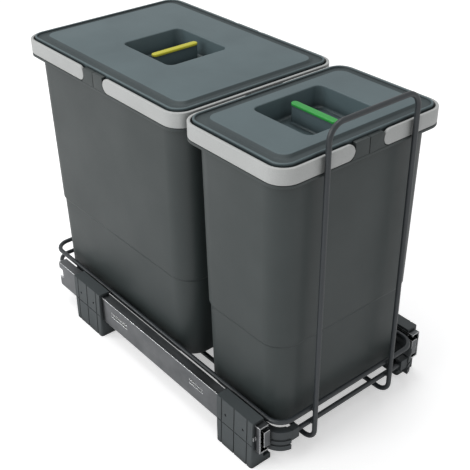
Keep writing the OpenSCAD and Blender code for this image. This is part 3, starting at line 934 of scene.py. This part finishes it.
@dataclass
class RimHandle:
    """A U-shaped strip round one end of a rim.

    Attributes:
        node: CAD node that it stands for.
        body: CAD body that it rides on.
        around: Bin whose rim it closes.
        toward: Direction from the pivots to the strip's cross bar.
        edge_r: Radius of the strip's edges.
        edge_share: Most of the strip's half height that an edge's radius takes at an arm's end.
        cap_steps: Sections round an arm's end.
        cap_start: Share of a step by which the first section stands clear of the end's very tip.
        bar_steps: Sections along a straight stretch.
    """

    node: str
    body: str
    around: Bin
    toward: Vector
    edge_r: float = 0.9 * MM
    edge_share: float = 0.6
    cap_steps: int = 9
    cap_start: float = 0.35
    bar_steps: int = 6

    def route(self) -> list[StripStation]:
        """Goes along the strip's outer face, from one arm end round to the other.

        Returns:
            The stations in order.
        """
        rim = self.around.rim
        along = self.toward
        across = Vector((-along.y, along.x, 0))
        long_half = self.around.half_x if abs(along.x) > 0.5 else self.around.half_y
        cross_half = self.around.half_y if abs(along.x) > 0.5 else self.around.half_x
        cap = rim.handle_h / 2
        stations: list[StripStation] = []
        for i in range(self.cap_steps):
            turn = math.pi / 2 * (i + self.cap_start) / (self.cap_steps - 1 + self.cap_start)
            end = along * (rim.pivot - cap * math.cos(turn)) - across * cross_half
            stations.append((end, -across, cap * math.sin(turn)))
        bend_start = long_half - rim.radius
        for i in range(1, self.bar_steps):
            u = rim.pivot + (bend_start - rim.pivot) * i / self.bar_steps
            stations.append((along * u - across * cross_half, -across, cap))
        for i in range(CORNER_STEPS + 1):
            turn = math.pi / 2 * i / CORNER_STEPS
            out = -across * math.cos(turn) + along * math.sin(turn)
            hub = along * bend_start - across * (cross_half - rim.radius)
            stations.append((hub + out * rim.radius, out, cap))
        for i in range(1, self.bar_steps):
            v = -(cross_half - rim.radius) * (1 - i / self.bar_steps)
            stations.append((along * long_half + across * v, along, cap))
        mirrored = [
            (place - across * (2 * place.dot(across)), out - across * (2 * out.dot(across)), half)
            for place, out, half in reversed(stations)
        ]
        return stations + [(along * long_half, along, cap)] + mirrored

    def section(self, place: Vector, out: Vector, half: float) -> list[Vector]:
        """Round-cornered section of the strip at one station.

        Args:
            place: Place of the outer face.
            out: Outward direction.
            half: Half of the strip's height there.

        Returns:
            The section's points.
        """
        rim = self.around.rim
        z = self.around.base + self.around.height - rim.handle_h / 2
        centre = Vector((self.around.centre.x, self.around.centre.y, z)) + place
        e = min(self.edge_r, half * self.edge_share)
        inner = e - rim.handle_t
        corners = ((-e, half - e, 0), (inner, half - e, 90), (inner, e - half, 180), (-e, e - half, 270))
        points = []
        for u, v, start in corners:
            for i in range(EDGE_STEPS + 1):
                turn = math.radians(start + 90 * i / EDGE_STEPS)
                rise = Vector((0, 0, v + e * math.sin(turn)))
                points.append(centre + out * (u + e * math.cos(turn)) + rise)
        return points

    def build(self) -> list[bpy.types.Object]:
        """Builds the strip and puts it on its body.

        Returns:
            The strip alone, in a list.
        """
        made = Shell()
        made.stack([self.section(*station) for station in self.route()])
        strip = made.piece(f"{self.node}_strip", HANDLE_PLASTIC)
        return [settle(strip, self.body, "handle_plastic", self.node)]


@dataclass
class Lid:
    """A loose lid with a finger recess and a coloured grip.

    Attributes:
        node: CAD node of the lid.
        insert_node: CAD node of the coloured insert.
        body: CAD body that both ride on.
        grip_along_x: Whether the grip wall runs along X.
        insert_finish: Finish of the insert.
        insert_slot: Material slot of the insert.
        lip_w: Width of the lip round the lid.
        lip_rise: Height of the lip above the channel.
        channel_w: Width of the channel inside the lip.
        channel_cove: Radius between the lip and the channel.
        slope_w: Width of the slope up to the panel.
        slope_r: Radius between the channel and the slope.
        panel_edge: Radius of the panel's edge.
        rise: Height of the panel above the channel.
        sheet: Thickness of the sheet.
        skirt_in: How far the skirt is set in from the lip.
        skirt_t: Thickness of the skirt.
        skirt_h: Height of the skirt.
        corner_r: Corner radius of the lip.
        recess_across: Size of the finger recess across the grip.
        recess_along: Size of the finger recess along the grip.
        recess_r: Corner radius of the finger recess.
        recess_h: Depth of the finger recess.
        recess_edge: Radius of the edge into the recess.
        recess_floor_r: Radius between the recess's wall and its floor.
        draft: How far the recess's wall leans in from its edge to its floor.
        grip_l: Length of the grip wall.
        grip_t: Thickness of the grip wall.
        insert_over: How far the insert stands out over the grip wall.
        insert_h: Height of the insert.
    """

    node: str
    insert_node: str
    body: str
    grip_along_x: bool
    insert_finish: Finish
    insert_slot: str
    lip_w: float = 2.4 * MM
    lip_rise: float = 2.5 * MM
    channel_w: float = 8 * MM
    channel_cove: float = 0.8 * MM
    slope_w: float = 3 * MM
    slope_r: float = 3 * MM
    panel_edge: float = 1 * MM
    rise: float = 3 * MM
    sheet: float = 2.5 * MM
    skirt_in: float = 2 * MM
    skirt_t: float = 1.6 * MM
    skirt_h: float = 7 * MM
    corner_r: float = 15.7 * MM
    recess_across: float = 91 * MM
    recess_along: float = 80 * MM
    recess_r: float = 8 * MM
    recess_h: float = 24 * MM
    recess_edge: float = 1.2 * MM
    recess_floor_r: float = 3 * MM
    draft: float = 0.6 * MM
    grip_l: float = 62 * MM
    grip_t: float = 5 * MM
    insert_over: float = 1.5 * MM
    insert_h: float = 3 * MM

    def __post_init__(self) -> None:
        """Takes the lid's place and size from its CAD node."""
        low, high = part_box(self.node)
        insert_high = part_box(self.insert_node)[1]
        self.centre = (low + high) / 2
        self.half_x = (high.x - low.x) / 2
        self.half_y = (high.y - low.y) / 2
        self.top = high.z
        self.seat = self.top - self.rise
        self.under = self.seat - self.sheet
        self.floor_z = self.top - self.recess_h
        self.lean = math.atan2(self.rise, self.slope_w)
        self.insert_top = insert_high.z

    def lay(self, outline: Sequence[Point2], z: float) -> list[Vector]:
        """Puts an outline about the lid's centre at a height in the frame."""
        return [Vector((x + self.centre.x, y + self.centre.y, z)) for x, y in outline]

    def ring(self, inset: float, z: float, radius: float) -> list[Vector]:
        """Returns a loop round the lid at a height in the frame."""
        return self.lay(rounded_loop(self.half_x - inset, self.half_y - inset, radius), z)

    def recess_ring(self, grow: float, z: float, radius: float) -> list[Vector]:
        """Makes a loop round the finger recess.

        Args:
            grow: How far the loop stands outside the recess's edge.
            z: Height in the frame.
            radius: Corner radius.

        Returns:
            The loop's points.
        """
        along, across = self.recess_along / 2 + grow, self.recess_across / 2 + grow
        half_x, half_y = (along, across) if self.grip_along_x else (across, along)
        return self.lay(rounded_loop(half_x, half_y, radius), z)

    def shell(self) -> bpy.types.Object:
        """Builds the lid's sheet, skirt and recess pan as one closed shell.

        Returns:
            The piece, with the darker finish of painted shade on its channel.
        """
        skirt = self.skirt_loops()
        lip, channel = self.lip_loops(), self.channel_loops()
        made = Shell()
        rows = made.sleeve(skirt + lip + channel + self.panel_loops() + self.recess_loops())
        made.faces.append(tuple(rows[-1]))
        pan = made.sleeve(self.pan_loops())
        made.faces.append(tuple(reversed(pan[0])))
        made.bridge(pan[-1], rows[0])
        shell = made.piece(f"{self.node}_shell", LID_PLASTIC)
        # The channel's darker finish is painted shade.
        shell.data.materials.append(LID_CHANNEL_SHADE.material())
        sides = len(rows[0])
        first = len(skirt) + len(lip)
        for number in range(first * sides, (first + len(channel)) * sides):
            shell.data.polygons[number].material_index = 1
        return shell

    def rings(self, rows: Sequence[Point2]) -> list[list[Vector]]:
        """Loops round the top from rows of inset and height, with corners that tighten a little."""
        most = 4 * MM
        return [self.ring(inset, z, self.corner_r - min(inset, most)) for inset, z in rows]

    def skirt_loops(self) -> list[list[Vector]]:
        """Goes down the inside of the skirt, round its edge and up to the underside.

        Returns:
            The loops in order.
        """
        r, outer, inner = self.corner_r, self.skirt_in, self.skirt_in + self.skirt_t
        under, low, soft = self.under, self.under - self.skirt_h, 0.5 * MM
        rows = [(inner, under), (inner, low + soft), (inner - soft, low), (outer + soft, low)]
        rows += [(outer, low + soft), (outer, under), (soft, under)]
        return [self.ring(inset, z, r - inset) for inset, z in rows]

    def lip_loops(self) -> list[list[Vector]]:
        """Goes up the outside of the lip and over its round crown.

        Returns:
            The loops in order.
        """
        crown, lip_top, soft = self.lip_w / 2, self.seat + self.lip_rise, 0.5 * MM
        rows = [(0.0, self.under + soft)]
        rows += [(crown * (1 - c), lip_top - crown * (1 - s)) for c, s in fillet(0, 180)]
        return self.rings(rows)

    def channel_loops(self) -> list[list[Vector]]:
        """Goes down into the channel, across it and up the start of the slope.

        Returns:
            The loops in order.
        """
        cove, bend = self.channel_cove, self.slope_r
        rows = [(self.lip_w + cove * (1 + c), self.seat + cove * (1 + s)) for c, s in fillet(-180, -90)]
        start = self.lip_w + self.channel_w - bend * math.tan(self.lean / 2)
        for c, s in fillet(0, math.degrees(self.lean)):
            rows.append((start + bend * s, self.seat + bend * (1 - c)))
        return self.rings(rows)

    def panel_loops(self) -> list[list[Vector]]:
        """Goes round the panel's soft edge.

        Returns:
            The loops in order.
        """
        edge = self.panel_edge
        start = self.lip_w + self.channel_w + self.slope_w + edge * math.tan(self.lean / 2)
        rows = [(start - edge * s, self.top - edge * (1 - c)) for c, s in fillet(math.degrees(self.lean), 0)]
        return self.rings(rows)

    def recess_loops(self) -> list[list[Vector]]:
        """Goes from the panel over the recess's edge and down to its floor.

        Returns:
            The loops in order.
        """
        r, soft, floor_r = self.recess_r, self.recess_edge, self.recess_floor_r
        flat_w, flat_r = 3 * MM, 2 * MM
        loops = [self.recess_ring(soft + flat_w, self.top, r + soft + flat_r)]
        for c, s in fillet(0, 90):
            grow = soft * (1 - s)
            loops.append(self.recess_ring(grow, self.top - soft * (1 - c), r + grow))
        for c, s in fillet(0, -90):
            inset = floor_r * (1 - c)
            z = self.floor_z + floor_r * (1 + s)
            loops.append(self.recess_ring(-self.draft - inset, z, r - inset))
        return loops

    def pan_loops(self) -> list[list[Vector]]:
        """Goes up the outside of the recess pan to the underside inside the skirt.

        Returns:
            The loops in order.
        """
        grow, soft, inner = self.sheet, 1 * MM, self.skirt_in + self.skirt_t
        outer_r, low = self.recess_r + self.sheet, self.floor_z - self.sheet
        hair = 0.01 * MM
        return [
            self.recess_ring(grow - soft, low, outer_r - soft),
            self.recess_ring(grow, low + soft, outer_r),
            self.recess_ring(grow, self.under + soft, outer_r),
            self.ring(inner, self.under + hair, self.corner_r - inner),
        ]

    def stadium(self, half_l: float, half_w: float) -> list[Point2]:
        """Draws a round-ended bar along the grip.

        Args:
            half_l: Half of the bar's length.
            half_w: Half of its width.

        Returns:
            The outline, anticlockwise.
        """
        points = []
        for start, sign in ((-90, 1), (90, -1)):
            for i in range(CORNER_STEPS + 1):
                turn = math.radians(start + 180 * i / CORNER_STEPS)
                x = sign * (half_l - half_w) + half_w * math.cos(turn)
                points.append((x, half_w * math.sin(turn)))
        return points if self.grip_along_x else [(-y, x) for x, y in points]

    def bar(self, name: str, stations: Sequence[Sequence[float]], finish: Finish) -> bpy.types.Object:
        """Builds a round-ended bar from stations of half length, half width and height.

        Args:
            name: Name of the piece.
            stations: From the bottom up.
            finish: Its surface.

        Returns:
            The piece.
        """
        made = Shell()
        made.stack([self.lay(self.stadium(half_l, half_w), z) for half_l, half_w, z in stations])
        return made.piece(name, finish)

    def grip(self) -> bpy.types.Object:
        """Builds the grip wall, which flares into the recess floor.

        Returns:
            The piece.
        """
        half_l, half_w = self.grip_l / 2, self.grip_t / 2
        sink = 0.3 * MM
        flare, low = 2.5 * MM, self.floor_z - sink
        rows = []
        for k in range(ARC_STEPS):
            turn = math.pi / 2 * k / (ARC_STEPS - 1)
            wide = flare * (1 - math.sin(turn))
            rows.append((half_l + wide, half_w + wide, low + flare * (1 - math.cos(turn))))
        end = self.insert_top - self.insert_h
        rows += [(half_l, half_w, end - sink), (half_l, half_w, end)]
        return self.bar(f"{self.node}_grip_wall", rows, LID_PLASTIC)

    def insert(self) -> bpy.types.Object:
        """Builds the coloured insert, with a softly crowned top.

        Returns:
            The piece.
        """
        half_l, half_w = self.grip_l / 2, self.grip_t / 2 + self.insert_over
        soft, crown = 0.4 * MM, 1.2 * MM
        low = self.insert_top - self.insert_h
        rows = [(half_l - soft, half_w - soft, low), (half_l, half_w, low + soft)]
        for c, s in fillet(0, 90):
            inset = crown * (1 - c)
            rows.append((half_l - inset, half_w - inset, self.insert_top - crown * (1 - s)))
        return self.bar(f"{self.insert_node}_cap", rows, self.insert_finish)

    def build(self) -> list[bpy.types.Object]:
        """Builds the lid and its insert and puts them on their body.

        Returns:
            The shell, the grip wall and the insert.
        """
        return [
            settle(self.shell(), self.body, "lid_plastic", self.node),
            settle(self.grip(), self.body, "lid_plastic"),
            settle(self.insert(), self.body, self.insert_slot, self.insert_node),
        ]


@dataclass
class WireCarriage:
    """The two closed wire rings and the hoop with its base rods.

    Attributes:
        body: CAD body that the wires ride on.
        rings: CAD nodes of the closed rings.
        hoop: CAD node of the hoop.
        slot: Material slot of the wires.
        ring_bend: Bend radius of the rings.
        hoop_bend: Bend radius of the hoop.
        hoop_half: Half of the distance between the hoop's legs.
        bead: Half sizes of a weld bead along X, Y and Z.
        bead_steps: Loops over a bead.
        bead_sides: Points round a bead.
        crease_deg: Edges of a wire sharper than this stay crisp.
    """

    body: str = "carriage"
    rings: tuple[str, ...] = ("ring_upper", "ring_lower")
    hoop: str = "front_hoop"
    slot: str = "wire_coat"
    ring_bend: float = 18 * MM
    hoop_bend: float = 16 * MM
    hoop_half: float = 57.8 * MM
    bead: tuple[float, float, float] = (2.9 * MM, 1.1 * MM, 2.9 * MM)
    bead_steps: int = 8
    bead_sides: int = 16
    crease_deg: float = 60.0

    def __post_init__(self) -> None:
        """Takes the wire's thickness and places from the CAD nodes."""
        self.ring_low, self.ring_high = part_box(self.rings[0])
        self.wire_r = (self.ring_high.z - self.ring_low.z) / 2

    def build_ring(self, node: str) -> bpy.types.Object:
        """Builds one closed ring and puts it on its body.

        Args:
            node: CAD node of the ring.

        Returns:
            The piece.
        """
        low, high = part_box(node)
        r = self.wire_r
        z = (low.z + high.z) / 2
        corners = [
            Vector((sx * (high.x - r), low.y + r if sy < 0 else high.y - r, z))
            for sx, sy in ((1, -1), (1, 1), (-1, 1), (-1, -1))
        ]
        made = Shell()
        rows = made.sleeve(tube_loops(rounded_route(corners, self.ring_bend, True), r, True))
        made.bridge(rows[-1], rows[0])
        piece = made.piece(f"{node}_wire", WIRE_COAT, self.crease_deg)
        return settle(piece, self.body, self.slot, node)

    def build_hoop(self) -> bpy.types.Object:
        """Builds the hoop, its base rods and its rear risers as one bent wire.

        Returns:
            The piece.
        """
        low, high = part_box(self.hoop)
        r = self.wire_r
        front, back = low.y + r, high.y - r
        bottom, top = low.z + r, high.z - r
        riser_top = self.ring_high.z + r
        left = [(back, riser_top), (back, bottom), (front, bottom), (front, top)]
        corners = [Vector((-self.hoop_half, y, z)) for y, z in left]
        corners += [Vector((self.hoop_half, y, z)) for y, z in reversed(left)]
        made = Shell()
        made.stack(tube_loops(rounded_route(corners, self.hoop_bend, False), r, False))
        piece = made.piece(f"{self.hoop}_wire", WIRE_COAT, self.crease_deg)
        return settle(piece, self.body, self.slot, self.hoop)

    def welds(self) -> list[bpy.types.Object]:
        """Builds the small weld beads where the hoop crosses the rings.

        Returns:
            The beads.
        """
        made = []
        places = {"front": self.ring_low.y, "back": self.ring_high.y - 2 * self.wire_r}
        for node in self.rings:
            low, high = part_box(node)
            for where, y in places.items():
                for side in (-1, 1):
                    place = Vector((side * self.hoop_half, y, (low.z + high.z) / 2))
                    made.append(self.build_bead(f"weld_{node}_{where}_{side_name(side)}", place))
        return made

    def build_bead(self, name: str, place: Vector) -> bpy.types.Object:
        """Builds one weld bead, a flat drop with an uneven outline.

        Args:
            name: Name of the piece.
            place: Where the two wires touch.

        Returns:
            The piece.
        """
        half_x, half_y, half_z = self.bead
        uneven, smooth_deg = 0.06, 80
        loops = []
        for i in range(self.bead_steps - 1, 0, -1):
            tilt = math.pi * (i / self.bead_steps - 0.5)
            loop = []
            for k in range(self.bead_sides):
                t = 2 * math.pi * k / self.bead_sides
                x = half_x * math.cos(tilt) * math.cos(t) * (1 + uneven * math.sin(3 * t))
                z = half_z * math.cos(tilt) * math.sin(t) * (1 + uneven * math.cos(5 * t))
                loop.append(place + Vector((x, half_y * math.sin(tilt), z)))
            loops.append(loop)
        made = Shell()
        made.stack(loops)
        return settle(made.piece(name, WIRE_COAT, smooth_deg), self.body, self.slot)

    def build(self) -> list[bpy.types.Object]:
        """Builds every wire piece."""
        return [*(self.build_ring(node) for node in self.rings), self.build_hoop(), *self.welds()]


@dataclass
class Hardware:
    """Slides, feet, clips, saddles and fasteners, which keep their CAD solids.

    Attributes:
        finishes: Finish for each start of a node's name. The first that fits counts.
    """

    finishes: dict[str, Finish] = field(
        default_factory=lambda: {
            "foot_rivets": RIVET_STEEL,
            "carriage_screws": RIVET_STEEL,
            "bin_saddles": WIRE_COAT,
            "foot_": FOOT_PLASTIC,
            "slide_": SLIDE_ZINC,
            "outer_cage": CAGE_STEEL,
            "inner_cage": CAGE_STEEL,
            "outer_balls": BALL_STEEL,
            "inner_balls": BALL_STEEL,
            "corner_block": CLIP_PLASTIC,
            "rear_clip": CLIP_PLASTIC,
        }
    )

    def build(self) -> list[str]:
        """Dresses the CAD nodes by the start of their names.

        Returns:
            The nodes that were dressed.
        """
        dressed = []
        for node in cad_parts:
            for start, finish in self.finishes.items():
                if node.startswith(start):
                    finish.dress(node)
                    dressed.append(node)
                    break
        return dressed


# Studio


@dataclass
class Studio:
    """Pale floor, soft lamps and the camera.

    Attributes:
        eye: Place of the camera.
        azimuth: Turn of the camera round the object, in degrees.
        elevation: Height of the camera above the horizon, in degrees.
        roll: Turn of the camera about its own axis, in degrees.
        lens_mm: Focal length on a 36 mm sensor.
        floor_lift: Light that the floor adds for the camera, so that it ends in white.
        floor_reach: Half of the floor's side, in metres.
        sky: Strength of the even surrounding light.
        aim: Point that the lamps face.
    """

    eye: Vector = field(default_factory=lambda: Vector((-0.5558, -0.70675, 0.7076)))
    azimuth: float = -39.29
    elevation: float = 32.29
    roll: float = -0.71
    lens_mm: float = 68.26
    floor_lift: float = 0.42
    floor_reach: float = 4.0
    sky: float = 0.54
    aim: Vector = field(default_factory=lambda: Vector((0, 0, 0.2)))

    def camera(self) -> None:
        """Makes the camera at the photograph's angle."""
        az, el, roll = (math.radians(v) for v in (self.azimuth, self.elevation, self.roll))
        back = Vector((math.sin(az) * math.cos(el), -math.cos(az) * math.cos(el), math.sin(el)))
        level = Vector((math.cos(az), math.sin(az), 0))
        up = back.cross(level)
        right = level * math.cos(roll) + up * math.sin(roll)
        top = up * math.cos(roll) - level * math.sin(roll)
        data = bpy.data.cameras.new("camera")
        data.lens = self.lens_mm
        data.sensor_width = 36
        data.clip_end = 20
        made = link_object("camera", data)
        made.matrix_world = axes_matrix(right, top, back, self.eye)
        bpy.context.scene.camera = made

    def floor(self) -> None:
        """Makes the pale floor, which camera rays see as white."""
        reach = self.floor_reach
        corners = [(reach * x, reach * y, 0.0) for x, y in ((1, 1), (-1, 1), (-1, -1), (1, -1))]
        material = bpy.data.materials.new("floor_pale_matt_paint")
        material.use_nodes = True
        tree = material.node_tree
        tree.nodes.clear()
        place = add_node(tree, "ShaderNodeTexCoord").outputs["Object"]
        cloud = add_node(tree, "ShaderNodeTexNoise", {"Scale": 3.0, "Detail": 2.0}, {"Vector": place})
        tone = add_node(
            tree,
            "ShaderNodeMix",
            {"data_type": "RGBA", 6: linear("#F4F4F4"), 7: linear("#F1F1F2")},
            {0: cloud.outputs["Fac"]},
        ).outputs[2]
        shader = add_node(tree, "ShaderNodeBsdfPrincipled", {"Roughness": 0.8}, {"Base Color": tone})
        seen = add_node(tree, "ShaderNodeLightPath").outputs["Is Camera Ray"]
        lift = add_node(
            tree, "ShaderNodeMath", {"operation": "MULTIPLY", 1: self.floor_lift}, {0: seen}
        ).outputs["Value"]
        glow = add_node(tree, "ShaderNodeEmission", {}, {"Strength": lift}).outputs["Emission"]
        both = add_node(tree, "ShaderNodeAddShader", {}, {0: shader.outputs["BSDF"], 1: glow})
        add_node(tree, "ShaderNodeOutputMaterial", {}, {"Surface": both.outputs["Shader"]})
        mesh = bpy.data.meshes.new("floor")
        mesh.from_pydata(corners, [], [(0, 1, 2, 3)])
        mesh.materials.append(material)
        link_object("floor", mesh)

    def lamp(self, name: str, place: Vector, size: float, watts: float) -> None:
        """Makes one soft square lamp that faces the bins.

        Args:
            name: Name of the lamp.
            place: Its place.
            size: Side of the square.
            watts: Its power.
        """
        data = bpy.data.lights.new(name, "AREA")
        data.shape = "SQUARE"
        data.size = size
        data.energy = watts
        made = link_object(name, data)
        made.location = place
        made.rotation_euler = (self.aim - place).to_track_quat("-Z", "Y").to_euler()

    def world(self) -> None:
        """Makes the even surrounding light."""
        world = bpy.data.worlds.new("studio")
        world.use_nodes = True
        tree = world.node_tree
        tree.nodes.clear()
        seen = add_node(tree, "ShaderNodeLightPath").outputs["Is Camera Ray"]
        strength = add_node(
            tree, "ShaderNodeMapRange", {"To Min": self.sky, "To Max": 1.0}, {"Value": seen}
        ).outputs["Result"]
        sky = add_node(
            tree, "ShaderNodeBackground", {"Color": linear("#FFFFFF")}, {"Strength": strength}
        )
        add_node(tree, "ShaderNodeOutputWorld", {}, {"Surface": sky.outputs["Background"]})
        bpy.context.scene.world = world

    def build(self) -> None:
        """Sets the studio up."""
        self.camera()
        self.floor()
        self.lamp("key_left", Vector((-1.7, 0.1, 1.3)), 1.2, 14.0)
        self.lamp("fill_front", Vector((0.9, -1.7, 0.9)), 1.4, 1.3)
        self.lamp("top", Vector((0.1, 0.3, 1.9)), 1.2, 9.5)
        self.lamp("rim_back", Vector((-1.3, 1.6, 1.3)), 0.5, 7.0)
        self.world()
        bpy.context.scene.view_settings.view_transform = "Standard"


def main() -> None:
    """Builds the object piece by piece, then the studio."""
    logging.basicConfig(level=logging.INFO, format="%(message)s")
    Studio().build()
    large = Bin("bin_large", "bin_large_body", arms_along_x=False)
    small = Bin("bin_small", "bin_small_body", arms_along_x=True)
    parts = [
        large,
        small,
        RimHandle("handle_large_front", "handle_large_front_body", large, Vector((0, -1, 0))),
        RimHandle("handle_large_rear", "handle_large_rear_body", large, Vector((0, 1, 0))),
        RimHandle("handle_small_left", "handle_small_left_body", small, Vector((-1, 0, 0))),
        RimHandle("handle_small_right", "handle_small_right_body", small, Vector((1, 0, 0))),
        Lid("lid_large", "grip_insert_large", "lid_large_body", True, GRIP_YELLOW, "grip_yellow"),
        Lid("lid_small", "grip_insert_small", "lid_small_body", False, GRIP_GREEN, "grip_green"),
        WireCarriage(),
        Hardware(),
    ]
    for part in parts:
        for piece in part.build():
            log.info("built %s", piece if isinstance(piece, str) else piece.name)


if __name__ == "__main__":
    main()
